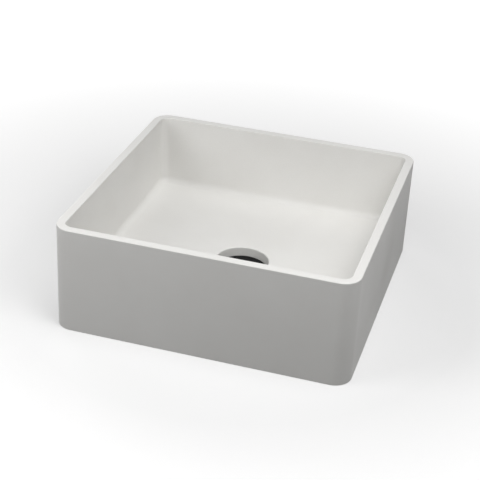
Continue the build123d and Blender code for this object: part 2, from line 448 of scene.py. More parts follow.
@dataclass(frozen=True)
class Thread:
    """A parallel thread with rounded crests and roots.

    The major size is a radius. The steps are those of one pitch. The crest's width is its share
    of half a pitch, the root is as wide, and wear reaches down to a share of the depth.
    """

    major: float
    pitch: float
    depth: float
    bottom: float
    top: float
    steps: int = 12
    crest_width: float = 0.14
    worn_depth: float = 0.35

    def spacing(self, outline: np.ndarray) -> np.ndarray:
        """Largest distance between points on each stretch of an outline.

        Args:
            outline: Points of a closed outline.

        Returns:
            The pitch over the steps on the stretch that is threaded, and no limit elsewhere.
        """
        following = np.roll(outline, -1, axis=0)
        starts, ends = (np.abs(points[:, 0] - self.major) < TOUCH for points in (outline, following))
        middle = (outline[:, 1] + following[:, 1]) / 2
        threaded = starts & ends & (middle > self.bottom) & (middle < self.top)
        return np.where(threaded, self.pitch / self.steps, np.inf)

    def groove(self, rings: np.ndarray) -> tuple[np.ndarray, np.ndarray]:
        """How deep the groove is at each point, and where the thread runs.

        The place within a turn is height / pitch minus angle / full turn. Its distance from the
        nearest crest, from 0 to 1, gives the depth along a smooth step, and the thread fades to
        nothing over one pitch at each end of the stretch.

        Args:
            rings: Points in the order ring, step, axis.

        Returns:
            The groove's depth from 0 on a crest to 1 in a root, and the share of thread at the point.
        """
        radius = np.hypot(rings[..., 0], rings[..., 1])
        angle = np.arctan2(rings[..., 1], rings[..., 0])
        height = rings[..., 2]
        place = (height / self.pitch - angle / (2 * math.pi)) % 1.0
        depth = smooth_step(self.crest_width, 1.0 - self.crest_width, 1.0 - np.abs(2.0 * place - 1.0))
        share = smooth_step(self.bottom, self.bottom + self.pitch, height)
        share = share * (1.0 - smooth_step(self.top - self.pitch, self.top, height))
        return depth, np.where(np.abs(radius - self.major) < TOUCH, share, 0.0)

    def cut(self, rings: np.ndarray) -> np.ndarray:
        """Moves the grooves in towards the axis, each point along its own radius.

        Args:
            rings: Points in the order ring, step, axis.

        Returns:
            The moved points.
        """
        depth, share = self.groove(rings)
        scale = 1.0 - self.depth * depth * share / self.major
        return np.concatenate([rings[..., :2] * scale[..., None], rings[..., 2:]], axis=-1)

    def crests(self, rings: np.ndarray) -> np.ndarray:
        """How exposed each point is to wear: 1 on the crests of the thread, 0 off it."""
        depth, share = self.groove(rings)
        return share * (1.0 - smooth_step(0.0, self.worn_depth, depth))


def lathe(
    name: str,
    outline: np.ndarray,
    steps: int,
    poles: tuple[float, float] | None = None,
    thread: Thread | None = None,
) -> bpy.types.Object:
    """Turns an outline of radius and height about the axis, and cuts a thread into it if asked.

    Args:
        name: Name of the piece.
        outline: Points of the outline, up the outside and down the inside.
        steps: Steps round the axis.
        poles: Heights of the closing points, if the outline is open at the axis.
        thread: The thread to cut where the outline lies at its major radius.

    Returns:
        The turned piece, with its outer edges marked.
    """
    if thread is not None:
        outline = subdivided(outline, thread.spacing(outline))
    ray = circle_plan(1.0, steps).points
    rings = lifted(outline[:, 0, None, None] * ray[None], outline[:, 1:])
    share = np.repeat(outline_turn(outline, poles is None)[:, None], steps, axis=1)
    if thread is not None:
        share = np.maximum(share, thread.crests(rings))
        rings = thread.cut(rings)
    ends = None if poles is None else np.array([[0.0, 0.0, height] for height in poles])
    piece = make_piece(name, rings, ends)
    mark_edges(piece, share if poles is None else np.append(share.ravel(), [0.0, 0.0]))
    return piece


# Node trees


class Tree:
    """Writes nodes and links into a node tree."""

    def __init__(self, tree: bpy.types.NodeTree) -> None:
        """Keeps the tree that is written to."""
        self.tree = tree

    def add(self, kind: str, inputs: dict | None = None, **settings: object) -> bpy.types.Node:
        """Adds a node.

        Args:
            kind: Blender's name of the node type.
            inputs: For each input, a value to set or an output socket to link from.
            **settings: Properties of the node itself, set before its inputs.

        Returns:
            The new node.
        """
        node = self.tree.nodes.new(kind)
        for key, value in settings.items():
            setattr(node, key, value)
        for key, value in (inputs or {}).items():
            if isinstance(value, Socket):
                self.tree.links.new(value, node.inputs[key])
            else:
                node.inputs[key].default_value = value
        return node

    def effect(self, group: bpy.types.NodeTree, inputs: dict[str, object]) -> Socket:
        """Places a shared group with its own values and gives what it puts out."""
        return self.add("ShaderNodeGroup", inputs, node_tree=group).outputs[0]

    def maths(self, operation: str, first: object, second: object = 0.0, clamp: bool = False) -> Socket:
        """The result of one sum on two values or sockets."""
        node = self.add("ShaderNodeMath", {0: first, 1: second}, operation=operation, use_clamp=clamp)
        return node.outputs[0]

    def noise(self, vector: Socket, scale: object, detail: float = 2.0, rough: float = 0.5) -> Socket:
        """A noise value from about 0 to 1 at each place."""
        inputs = {"Vector": vector, "Scale": scale, "Detail": detail, "Roughness": rough}
        return self.add("ShaderNodeTexNoise", inputs).outputs["Fac"]

    def mixed(self, share: Socket, first: object, second: object) -> Socket:
        """The colour that lies at a share of the way from the first to the second."""
        inputs = {"Factor": share, "A": first, "B": second}
        return self.add("ShaderNodeMix", inputs, data_type="RGBA").outputs["Result"]

    def spread(self, value: Socket, low: object, high: object, start: float, end: float) -> Socket:
        """Maps start..end to low..high and clamps."""
        inputs = {"Value": value, "From Min": start, "From Max": end, "To Min": low, "To Max": high}
        return self.add("ShaderNodeMapRange", inputs).outputs["Result"]


class GroupTree(Tree):
    """Writes a shader node group and its sockets."""

    def __init__(self, name: str, inputs: dict[str, tuple[str, object]], output: tuple[str, str]) -> None:
        """Starts the group.

        Args:
            name: Name of the group.
            inputs: For each input its socket type and default value.
            output: Name and socket type of what it puts out.
        """
        group = bpy.data.node_groups.new(name, "ShaderNodeTree")
        for key, (kind, default) in inputs.items():
            socket = group.interface.new_socket(key, in_out="INPUT", socket_type=kind)
            if default is not None:
                socket.default_value = default
        group.interface.new_socket(output[0], in_out="OUTPUT", socket_type=output[1])
        super().__init__(group)
        self.given = self.add("NodeGroupInput").outputs

    def put_out(self, value: Socket) -> bpy.types.NodeTree:
        """Links a value to the group's output and gives back the group."""
        self.add("NodeGroupOutput", {0: value})
        return self.tree


def cleared_tree(owner: bpy.types.Material | bpy.types.World) -> Tree:
    """Turns on the nodes of a material or a world and clears them.

    Args:
        owner: The material or the world.

    Returns:
        Its empty tree.
    """
    owner.use_nodes = True
    owner.node_tree.nodes.clear()
    return Tree(owner.node_tree)


def make_drift_group() -> bpy.types.NodeTree:
    """Colour that drifts slowly over a piece and is speckled finely.

    Returns:
        The group. Tone is the colour at each place.
    """
    tree = GroupTree(
        "colour_drift",
        {
            "Vector": (VECTOR, None),
            "Main": (COLOR, (0.8, 0.8, 0.8, 1)),
            "Drift": (COLOR, (0.7, 0.7, 0.7, 1)),
            "Cloud Scale": (FLOAT, 10.0),
            "Speck Scale": (FLOAT, 900.0),
            "Cloud Share": (FLOAT, 0.5),
            "Speck Share": (FLOAT, 0.3),
        },
        ("Tone", COLOR),
    )
    given = tree.given
    cloud = tree.noise(given["Vector"], given["Cloud Scale"], detail=3.0, rough=0.55)
    cloud = tree.spread(cloud, 0.0, given["Cloud Share"], start=0.32, end=0.68)
    speck = tree.noise(given["Vector"], given["Speck Scale"], detail=2.0, rough=0.6)
    speck = tree.spread(speck, 0.0, given["Speck Share"], start=0.38, end=0.72)
    share = tree.maths("ADD", cloud, speck, clamp=True)
    return tree.put_out(tree.mixed(share, given["Main"], given["Drift"]))


def make_polish_group() -> bpy.types.NodeTree:
    """Uneven polish: rubbed patches, faint wipe marks and smoother edges.

    Returns:
        The group. Roughness is the roughness at each place.
    """
    tree = GroupTree(
        "uneven_polish",
        {
            "Vector": (VECTOR, None),
            "Scale": (FLOAT, 8.0),
            "Low": (FLOAT, 0.3),
            "High": (FLOAT, 0.5),
            "Edge": (FLOAT, 0.0),
            "Edge Drop": (FLOAT, 0.1),
        },
        ("Roughness", FLOAT),
    )
    given = tree.given
    patch = tree.noise(given["Vector"], given["Scale"], detail=4.0, rough=0.6)
    level = tree.spread(patch, given["Low"], given["High"], start=0.3, end=0.7)
    drop = tree.maths("MULTIPLY", given["Edge"], given["Edge Drop"])
    return tree.put_out(tree.maths("SUBTRACT", level, drop, clamp=True))


def make_grain_group() -> bpy.types.NodeTree:
    """Relief of a sanded, sprayed or cast skin: fine grain over slow waves.

    Returns:
        The group. Height is the relief from 0 to 1.
    """
    tree = GroupTree(
        "skin_grain",
        {
            "Vector": (VECTOR, None),
            "Grain Scale": (FLOAT, 1500.0),
            "Wave Scale": (FLOAT, 20.0),
            "Wave Share": (FLOAT, 0.5),
        },
        ("Height", FLOAT),
    )
    given = tree.given
    grain = tree.noise(given["Vector"], given["Grain Scale"], detail=3.0, rough=0.65)
    wave = tree.noise(given["Vector"], given["Wave Scale"], detail=1.0, rough=0.4)
    wave = tree.maths("MULTIPLY", wave, given["Wave Share"])
    return tree.put_out(tree.maths("ADD", grain, wave))


def make_turning_group() -> bpy.types.NodeTree:
    """Marks of a lathe: fine grooves that run round the axis, by radius and height.

    Returns:
        The group. Height is the relief from 0 to 1.
    """
    tree = GroupTree(
        "turning_marks",
        {
            "Vector": (VECTOR, None),
            "Scale": (FLOAT, 4000.0),
            "Wander Scale": (FLOAT, 300.0),
            "Wander": (FLOAT, 0.2),
        },
        ("Height", FLOAT),
    )
    given = tree.given
    parts = tree.add("ShaderNodeSeparateXYZ", {"Vector": given["Vector"]}).outputs
    squares = [tree.maths("MULTIPLY", parts[axis], parts[axis]) for axis in ("X", "Y")]
    radius = tree.maths("SQRT", tree.maths("ADD", *squares))
    along = tree.maths("ADD", radius, parts["Z"])
    line = tree.add("ShaderNodeCombineXYZ", {"X": along, "Y": 0.0, "Z": 0.0}).outputs["Vector"]
    groove = tree.noise(line, given["Scale"], detail=3.0, rough=0.7)
    wander = tree.noise(given["Vector"], given["Wander Scale"])
    wander = tree.maths("MULTIPLY", wander, given["Wander"])
    return tree.put_out(tree.maths("ADD", groove, wander))


def make_wear_group() -> bpy.types.NodeTree:
    """Where edges are rubbed: the marked edges, broken up by noise.

    Returns:
        The group. Mask is 1 where the surface is worn.
    """
    tree = GroupTree(
        "edge_wear",
        {"Vector": (VECTOR, None), "Edge": (FLOAT, 0.0), "Scale": (FLOAT, 400.0), "Amount": (FLOAT, 0.5)},
        ("Mask", FLOAT),
    )
    given = tree.given
    patch = tree.noise(given["Vector"], given["Scale"], detail=4.0, rough=0.7)
    patch = tree.spread(patch, 0.0, 1.0, start=0.45, end=0.65)
    rubbed = tree.maths("MULTIPLY", given["Edge"], patch)
    return tree.put_out(tree.maths("MULTIPLY", rubbed, given["Amount"], clamp=True))


class Effects:
    """The shared node groups, each built once."""

    def __init__(self) -> None:
        """Builds the groups: colour, roughness, two kinds of relief, and wear."""
        self.drift = make_drift_group()
        self.polish = make_polish_group()
        self.grain = make_grain_group()
        self.turning = make_turning_group()
        self.wear = make_wear_group()


# Finishes


@dataclass(frozen=True)
class Finish:
    """What every finish has: a name, its slot, two tones, a range of roughness and a fine relief.

    A scale is the number of a pattern's cells in a metre, and the relief is its height.
    """

    name: str
    slot: Slot
    main: Colour
    drift: Colour
    rough_low: float
    rough_high: float
    cloud_scale: float = 14.0
    speck_scale: float = 900.0
    cloud_share: float = 0.5
    speck_share: float = 0.3
    patch_scale: float = 9.0
    edge_drop: float = 0.1
    grain_scale: float = 1500.0
    wave_scale: float = 30.0
    wave_share: float = 0.5
    relief: float = 0.02
    metallic: float = 0.0
    specular: float = 0.5
    ior: float = 1.5
    wear_tone: Colour | None = None
    wear_amount: float = 0.5
    turned: bool = False

    def build(self, effects: Effects) -> bpy.types.Material:
        """Builds the material.

        Args:
            effects: The shared node groups.

        Returns:
            The material, with Object coordinates behind every pattern.
        """
        material = bpy.data.materials.new(self.name)
        tree = cleared_tree(material)
        place = tree.add("ShaderNodeTexCoord").outputs["Object"]
        edge = tree.add("ShaderNodeAttribute", attribute_name="edge").outputs["Fac"]
        shader = tree.add("ShaderNodeBsdfPrincipled", {
            "Base Color": self.colour(tree, effects, place, edge),
            "Roughness": self.roughness(tree, effects, place, edge),
            "Metallic": self.metallic,
            "IOR": self.ior,
            "Specular IOR Level": self.specular,
            "Normal": self.normal(tree, effects, place),
        })
        tree.add("ShaderNodeOutputMaterial", {"Surface": shader.outputs["BSDF"]})
        return material

    def colour(self, tree: Tree, effects: Effects, place: Socket, edge: Socket) -> Socket:
        """The drifting colour, with the wear's tone on rubbed edges.

        Args:
            tree: The material's tree.
            effects: The shared node groups.
            place: Object coordinates.
            edge: How exposed the surface is to wear.

        Returns:
            The colour at each place.
        """
        tone = tree.effect(effects.drift, {
            "Vector": place,
            "Main": self.main,
            "Drift": self.drift,
            "Cloud Scale": self.cloud_scale,
            "Speck Scale": self.speck_scale,
            "Cloud Share": self.cloud_share,
            "Speck Share": self.speck_share,
        })
        if self.wear_tone is None:
            return tone
        worn = tree.effect(effects.wear, {"Vector": place, "Edge": edge, "Amount": self.wear_amount})
        return tree.mixed(worn, tone, self.wear_tone)

    def roughness(self, tree: Tree, effects: Effects, place: Socket, edge: Socket) -> Socket:
        """The uneven polish.

        Args:
            tree: The material's tree.
            effects: The shared node groups.
            place: Object coordinates.
            edge: How exposed the surface is to wear.

        Returns:
            The roughness at each place.
        """
        return tree.effect(effects.polish, {
            "Vector": place,
            "Scale": self.patch_scale,
            "Low": self.rough_low,
            "High": self.rough_high,
            "Edge": edge,
            "Edge Drop": self.edge_drop,
        })

    def normal(self, tree: Tree, effects: Effects, place: Socket) -> Socket:
        """The fine relief, of a lathe on turned pieces and of a cast or sprayed skin on others.

        Args:
            tree: The material's tree.
            effects: The shared node groups.
            place: Object coordinates.

        Returns:
            The normal at each place.
        """
        if self.turned:
            skin = tree.effect(effects.turning, {"Vector": place})
        else:
            skin = tree.effect(effects.grain, {
                "Vector": place,
                "Grain Scale": self.grain_scale,
                "Wave Scale": self.wave_scale,
                "Wave Share": self.wave_share,
            })
        relief = {"Strength": 1.0, "Distance": self.relief * MM, "Height": skin}
        return tree.add("ShaderNodeBump", relief).outputs["Normal"]


FINISHES = [
    Finish(
        "satin_cast_stone", Slot.CAST, main=(0.85, 0.845, 0.825, 1), drift=(0.785, 0.775, 0.75, 1),
        rough_low=0.42, rough_high=0.58, cloud_scale=11.0, speck_scale=1300.0, cloud_share=0.4,
        speck_share=0.45, edge_drop=0.08, grain_scale=2000.0, wave_scale=16.0, wave_share=2.0,
        specular=0.22,
    ),
    Finish(
        "satin_black_coat", Slot.BLACK, main=(0.006, 0.006, 0.0065, 1), drift=(0.011, 0.011, 0.0115, 1),
        rough_low=0.46, rough_high=0.58, speck_scale=2200.0, grain_scale=2400.0, relief=0.015,
        specular=0.1, wear_tone=(0.09, 0.085, 0.08, 1), wear_amount=0.35,
    ),
    Finish(
        "turned_brass", Slot.BRASS, main=(0.72, 0.53, 0.26, 1), drift=(0.52, 0.36, 0.17, 1),
        rough_low=0.22, rough_high=0.42, cloud_scale=60.0, speck_scale=700.0, metallic=1.0,
        turned=True, wear_tone=(0.86, 0.7, 0.42, 1), wear_amount=0.6,
    ),
    Finish(
        "drawn_spring_steel", Slot.SPRING, main=(0.58, 0.58, 0.57, 1), drift=(0.4, 0.4, 0.4, 1),
        rough_low=0.2, rough_high=0.34, metallic=1.0, relief=0.008,
    ),
    Finish(
        "black_rubber", Slot.RUBBER, main=(0.018, 0.018, 0.018, 1), drift=(0.035, 0.034, 0.032, 1),
        rough_low=0.62, rough_high=0.82, speck_scale=1500.0, relief=0.04, specular=0.35,
    ),
    Finish(
        "white_nylon", Slot.NYLON, main=(0.74, 0.735, 0.70, 1), drift=(0.66, 0.655, 0.62, 1),
        rough_low=0.34, rough_high=0.5, relief=0.015,
    ),
    Finish(
        "natural_acetal", Slot.ACETAL, main=(0.78, 0.775, 0.74, 1), drift=(0.7, 0.69, 0.66, 1),
        rough_low=0.26, rough_high=0.4, relief=0.01,
    ),
    Finish(
        "moulded_black_plastic", Slot.PLASTIC, main=(0.02, 0.02, 0.021, 1), drift=(0.03, 0.03, 0.03, 1),
        rough_low=0.42, rough_high=0.58, grain_scale=1900.0, relief=0.03,
    ),
]

# Frame nodes that keep their shape, under the slot of their finish
KEPT_NODES = {
    Slot.BRASS: ["cartridge_body", "cartridge_cap", "cartridge_locknut", "plunger", "plug_locknut"],
    Slot.ACETAL: ["index_ring"],
    Slot.PLASTIC: ["plug_carrier"],
}


class Wardrobe:
    """Holds one material for each slot, dresses pieces with it and says where they ride."""

    def __init__(self) -> None:
        """Builds every finish."""
        effects = Effects()
        self.materials = {finish.slot: finish.build(effects) for finish in FINISHES}

    def dress(self, piece: bpy.types.Object, slot: Slot) -> None:
        """Gives a piece the material of a slot in place of what it has."""
        piece.data.materials.clear()
        piece.data.materials.append(self.materials[slot])

    def enter(self, piece: bpy.types.Object, nodes: tuple[str, ...]) -> None:
        """Has a piece stand for frame nodes, which it hides, and reports it.

        Args:
            piece: The new piece.
            nodes: The frame nodes that it replaces.
        """
        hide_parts(*nodes)
        LOG.info("%s replaces %s, %d faces", piece.name, ", ".join(nodes), len(piece.data.polygons))

    def place(self, piece: bpy.types.Object, slot: Slot, body: Body, *nodes: str) -> None:
        """Dresses a new piece and makes it ride on a body.

        Args:
            piece: The new piece.
            slot: The slot of its finish.
            body: The body that it rides on.
            *nodes: The frame nodes that it replaces.
        """
        self.dress(piece, slot)
        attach(piece, body.value)
        self.enter(piece, nodes)

    def stretch(self, piece: bpy.types.Object, slot: Slot, foot: float, head: float, *nodes: str) -> None:
        """Dresses a new piece that stretches upwards between the basin and the plug, and bakes its place
        into its mesh, on neither body.

        Args:
            piece: The new piece.
            slot: The slot of its finish.
            foot: Height of the piece's low end. Not used.
            head: Height of the piece's high end. Not used.
            *nodes: The frame nodes that it replaces.
        """
        self.dress(piece, slot)
        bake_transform(piece)
        self.enter(piece, nodes)

    def dress_frame(self) -> None:
        """Gives every frame node that is still shown the finish of its slot."""
        for slot, nodes in KEPT_NODES.items():
            for node in nodes:
                self.dress(frame["nodes"][node], slot)
                LOG.info("%s keeps its frame shape", node)


# Sub-assemblies


@dataclass
class SubAssembly:
    """Pieces that belong together, with the wardrobe that dresses them."""

    wardrobe: Wardrobe

    def build(self) -> None:
        """Builds the pieces, dresses them and says where they ride."""
        raise NotImplementedError


@dataclass
class Bowl(SubAssembly):
    """The cast basin: straight walls, a gently falling floor, a drain recess and a hollow underside."""

    wall: float = 12.0
    corner: float = 24.0
    edge: float = 1.0
    floor_fillet: float = 8.0
    slope: float = 1.35
    slab: float = 13.5
    pocket_fillet: float = 5.0
    recess_radius: float = 37.0
    lip_height: float = 37.5
    lip_radius: float = 1.8
    ledge_fillet: float = 1.5
    ledge_thickness: float = 10.0
    boss_wall: float = 10.0
    hole_radius: float = 22.455
    support: float = 0.3
    outer_middle: float = 0.5
    inner_middle: float = 0.6
    arc_steps: int = 6
    corner_steps: int = 24
    side_steps: int = 44
    floor_rings: int = 24
    slab_rings: int = 12

    def plan(self) -> Plan:
        """The basin's outer outline seen from above."""
        width = 2 * span_of("basin").radius
        return polygon_plan(4, width, self.corner, self.corner_steps, self.side_steps)

    def slab_underside(self) -> float:
        """Height of the flat underside of the slab that the floor lies on."""
        return self.lip_height - self.slab

    def wall_rings(self) -> np.ndarray:
        """Rings along the walls, from the pocket's top edge down, out, up and in to the floor's edge.

        Returns:
            A row for each ring: the distance in from the outer outline, the height, and 1 where
            that height is counted from the sloping floor.
        """
        height = span_of("basin").high
        inner, clear = self.wall, self.edge + self.support
        fall, grow = quarter_arc(self.edge, self.arc_steps)
        pocket_fall, pocket_grow = quarter_arc(self.pocket_fillet, self.arc_steps)
        floor_fall, floor_grow = quarter_arc(self.floor_fillet, self.arc_steps)
        upright = stacked(
            np.column_stack([inner + pocket_fall, self.slab_underside() - pocket_grow]),
            [[inner, clear]],
            np.column_stack([inner - grow, fall]),
            [[inner - clear, 0.0], [clear, 0.0]],
            np.column_stack([fall, grow]),
            [[0.0, clear], [0.0, height * self.outer_middle], [0.0, height - clear]],
            np.column_stack([grow, height - fall]),
            [[clear, height], [inner - clear, height]],
            np.column_stack([inner - fall, height - grow]),
            [[inner, height - clear], [inner, height * self.inner_middle]],
        )
        low = stacked(
            [[inner, self.floor_fillet + self.support]],
            np.column_stack([inner + floor_grow, floor_fall]),
            [[inner + self.floor_fillet + self.support, 0.0]],
        )
        sloped = np.append(np.zeros(len(upright)), np.ones(len(low)))
        return np.column_stack([stacked(upright, low), sloped])

    def drain_rings(self) -> np.ndarray:
        """Round rings from the recess's lip down to the ledge, through the hole and out under the boss.

        Returns:
            A row of radius and height for each ring.
        """
        recess, top, ledge = self.recess_radius, self.lip_height, span_of("flange_gasket").low
        boss, slab_low = recess + self.boss_wall, self.slab_underside()
        boss_low = ledge - self.ledge_thickness
        lip, foot, root = self.lip_radius, self.ledge_fillet, self.pocket_fillet
        lip_fall, lip_grow = quarter_arc(lip, self.arc_steps)
        foot_fall, foot_grow = quarter_arc(foot, self.arc_steps)
        root_fall, root_grow = quarter_arc(root, self.arc_steps)
        return stacked(
            [[recess + lip + self.support, top]],
            np.column_stack([recess + lip_fall, top - lip_grow]),
            [[recess, top - lip - self.support], [recess, ledge + foot + self.support]],
            np.column_stack([recess - foot_grow, ledge + foot_fall]),
            [[recess - foot - self.support, ledge], [self.hole_radius, ledge]],
            [[self.hole_radius, boss_low], [boss, boss_low], [boss, slab_low - root - self.support]],
            np.column_stack([boss + root_grow, slab_low - root_fall]),
            [[boss + root + self.support, slab_low]],
        )

    def build(self) -> None:
        """Builds the basin as one closed surface of rings.

        Along the walls a ring is the rounded square moved inwards. At the drain a ring is a
        circle. On the floor and under the slab a ring is a blend of the two, and the floor's
        height is the lip's height plus the slope times the distance beyond the recess.
        """
        plan = self.plan()
        walls, drain = self.wall_rings(), self.drain_rings()
        wall_xy = plan.inset(walls[:, 0])
        drain_xy = drain[:, 0, None, None] * plan.rays()[None]
        pocket_xy = plan.inset(np.array([self.wall + self.pocket_fillet]))
        floor_xy = between(wall_xy[-1:], drain_xy[:1], self.floor_rings)
        slab_xy = between(drain_xy[-1:], pocket_xy, self.slab_rings)
        xy = np.concatenate([wall_xy, floor_xy, drain_xy, slab_xy])
        slab_rise = np.full(self.slab_rings, self.slab_underside())
        rise = np.concatenate([walls[:, 1], np.zeros(self.floor_rings), drain[:, 1], slab_rise])
        level_rings = len(drain) + self.slab_rings
        sloped = np.concatenate([walls[:, 2], np.ones(self.floor_rings), np.zeros(level_rings)])
        away = np.hypot(xy[..., 0], xy[..., 1]) - self.recess_radius
        floor = self.lip_height + away * math.tan(math.radians(self.slope))
        height = rise[:, None] + sloped[:, None] * floor
        piece = make_piece("basin_bowl", lifted(xy, height))
        section = np.column_stack([xy[:, 0, 0], height[:, 0]])
        mark_edges(piece, np.repeat(outline_turn(section), len(plan.points)))
        self.wardrobe.place(piece, Slot.CAST, Body.BASIN, "basin")


@dataclass(frozen=True)
class HexagonNut:
    """A hexagon nut with coned corners, eased edges and a countersunk bore.

    The cone cuts in from the corners at each face, and as far down from it.
    """

    flats: float
    corner: float
    cone: float
    bore: float
    lead: float = 0.8
    ease: float = 0.25
    face_wear: float = 0.6
    worn_corner: float = 0.96
    cone_steps: int = 4
    corner_steps: int = 6
    side_steps: int = 14

    def make(self, name: str, span: Span) -> bpy.types.Object:
        """Makes the nut.

        Each outer ring is the hexagon, and a point that lies beyond the cone's radius at that
        height is brought back along its ray. The bore's rings are circles.

        Args:
            name: Name of the piece.
            span: The node that gives the heights of its two faces.

        Returns:
            The nut, with its corners and faces marked.
        """
        plan = polygon_plan(6, self.flats, self.corner, self.corner_steps, self.side_steps)
        low, high = span.low, span.high
        reach = self.flats / math.sqrt(3)
        run = np.linspace(0, 1, self.cone_steps + 1) * (self.cone - self.ease)
        rise = np.concatenate([[low], low + self.ease + run, high - self.cone + run, [high]])
        from_face = np.minimum(rise - low, high - rise)
        limit = reach - self.cone + np.minimum(from_face, self.cone)
        limit[[0, -1]] -= self.ease
        outer = plan.inset(np.where(from_face < TOUCH, self.ease, 0.0))
        distance = np.linalg.norm(outer, axis=2, keepdims=True)
        outer = outer * np.minimum(1.0, limit[:, None, None] / distance)
        bore = bore_rings(plan, self.bore, self.lead, low, high)
        piece = make_piece(name, np.concatenate([lifted(outer, rise[:, None]), bore]))
        near_face = np.clip(1 - from_face / self.cone, 0, 1) * self.face_wear
        corner = np.linalg.norm(plan.points, axis=1) / reach
        share = np.maximum(near_face[:, None], smooth_step(self.worn_corner, 1.0, corner)[None])
        mark_edges(piece, np.concatenate([share, np.zeros(bore.shape[:2])]))
        return piece


@dataclass
class Waste(SubAssembly):
    """The threaded waste tube with its spider, seals, washer and nut."""

    thread_radius: float = 20.955
    thread_pitch: float = 2.309
    thread_depth: float = 1.479
    tube_wall: float = 2.5
    bore_edge: float = 0.3
    tail_chamfer: float = 1.0
    tail_edge: float = 0.2
    neck_top: float = -12.0
    neck_bottom: float = -15.0
    flange_thickness: float = 3.0
    flange_edge: float = 1.0
    flange_underside_edge: float = 0.3
    mouth_lead: float = 3.0
    mouth_edge: float = 0.4
    throat_edge: float = 0.6
    fit: float = 0.05
    spider_top: float = -24.0
    spider_height: float = 7.0
    spider_edge: float = 0.5
    spider_boss: float = 9.5
    spider_root: float = 1.2
    arm_width: float = 2.6
    arms: int = 4
    stud_radius: float = 4.0
    gasket_inner: float = 22.955
    gasket_edge: float = 0.25
    seal_bevel: float = 3.5
    seal_edge: float = 0.3
    seal_shoulder_edge: float = 0.4
    seal_foot_edge: float = 0.5
    seal_support: float = 0.08
    washer_bore_edge: float = 0.2
    washer_edge: float = 0.25
    nut_flats: float = 52.0
    nut_corner: float = 0.7
    nut_chamfer: float = 1.6
    tube_around: int = 120
    ring_around: int = 96
    tube_arc_steps: int = 5
    seal_arc_steps: int = 4
    spider_arc_steps: int = 4
    root_points: int = 7
    boss_points: int = 7
    end_points: int = 4
    side_points: int = 6

    def tube(self) -> None:
        """The tube: a flange with a countersunk mouth, a plain stretch, a neck and a threaded tail."""
        span = span_of("waste_body")
        outer, inner = self.thread_radius, self.thread_radius - self.tube_wall
        neck = outer - self.thread_depth
        under_flange = span.high - self.flange_thickness
        outline = rounded_outline([
            (inner, span.low, self.bore_edge),
            (outer - self.tail_chamfer, span.low, self.tail_edge),
            (outer, span.low + self.tail_chamfer, 0.0),
            (outer, self.neck_bottom, 0.0),
            (neck, self.neck_bottom, 0.0),
            (neck, self.neck_top, 0.0),
            (outer, self.neck_top, 0.0),
            (outer, under_flange, 0.0),
            (span.radius, under_flange, self.flange_underside_edge),
            (span.radius, span.high, self.flange_edge),
            (inner + self.mouth_lead, span.high, self.mouth_edge),
            (inner, span.high - self.mouth_lead, self.throat_edge),
        ], steps=self.tube_arc_steps)
        thread_top = self.neck_bottom + self.thread_pitch / 2
        thread = Thread(
            major=outer,
            pitch=self.thread_pitch,
            depth=self.thread_depth,
            bottom=span.low,
            top=thread_top,
        )
        piece = lathe("waste_tube", outline, self.tube_around, thread=thread)
        self.wardrobe.place(piece, Slot.BLACK, Body.BASIN, "waste_body")

    def spider_plan(self) -> Plan:
        """Outline of the spider: a round boss with straight arms that end inside the tube's wall.

        One arm lies along +X. Its edge runs straight to a small arc of the root's radius, which
        meets the boss. The arm's half outline is mirrored, and the whole is turned once for each arm.

        Returns:
            The outline, anticlockwise.
        """
        half, root, boss = self.arm_width / 2, self.spider_root, self.spider_boss
        reach = self.thread_radius - self.tube_wall / 2
        centre_y = half + root
        centre_x = math.sqrt((boss + root) ** 2 - centre_y**2)
        meet = math.atan2(centre_y, centre_x)
        arc = np.linspace(-math.pi / 2, meet - math.pi, self.root_points)
        boss_angle = np.linspace(meet, math.pi / self.arms, self.boss_points + 1)[1:]
        end_y = np.linspace(0, half, self.end_points)
        side_x = np.linspace(reach, centre_x, self.side_points + 2)[1:-1]
        upper = stacked(
            np.column_stack([np.full(self.end_points, reach), end_y]),
            np.column_stack([side_x, np.full(self.side_points, half)]),
            np.column_stack([centre_x + root * np.cos(arc), centre_y + root * np.sin(arc)]),
            boss * np.column_stack([np.cos(boss_angle), np.sin(boss_angle)]),
        )
        lower = upper[1:-1][::-1] * np.array([1.0, -1.0])
        arm = np.concatenate([lower, upper])
        turn = np.arange(self.arms) * 2 * math.pi / self.arms
        matrix = np.array([[np.cos(turn), -np.sin(turn)], [np.sin(turn), np.cos(turn)]])
        points = np.einsum("ijk,nj->kni", matrix, arm).reshape(-1, 2)
        tangent = np.roll(points, -1, axis=0) - np.roll(points, 1, axis=0)
        tangent /= np.linalg.norm(tangent, axis=1, keepdims=True)
        return Plan(points, np.stack([tangent[:, 1], -tangent[:, 0]], axis=1))

    def spider(self) -> None:
        """The spider: its outline carried up between two rounded edges, with a hole for the stud."""
        plan = self.spider_plan()
        top, bottom = self.spider_top, self.spider_top - self.spider_height
        fall, grow = quarter_arc(self.spider_edge, self.spider_arc_steps)
        height = np.append(bottom + grow, top - fall)
        outer = lifted(plan.inset(np.append(fall, grow)), height[:, None])
        hole = bore_rings(plan, self.stud_radius + self.fit, self.spider_edge, bottom, top)
        piece = make_piece("waste_spider", np.concatenate([outer, hole]))
        self.wardrobe.place(piece, Slot.BLACK, Body.BASIN, "waste_body")

    def ring(self, name: str, outline: np.ndarray, slot: Slot, node: str) -> None:
        """Turns the section of a ring that takes the place of a node, and dresses it."""
        self.wardrobe.place(lathe(name, outline, self.ring_around), slot, Body.BASIN, node)

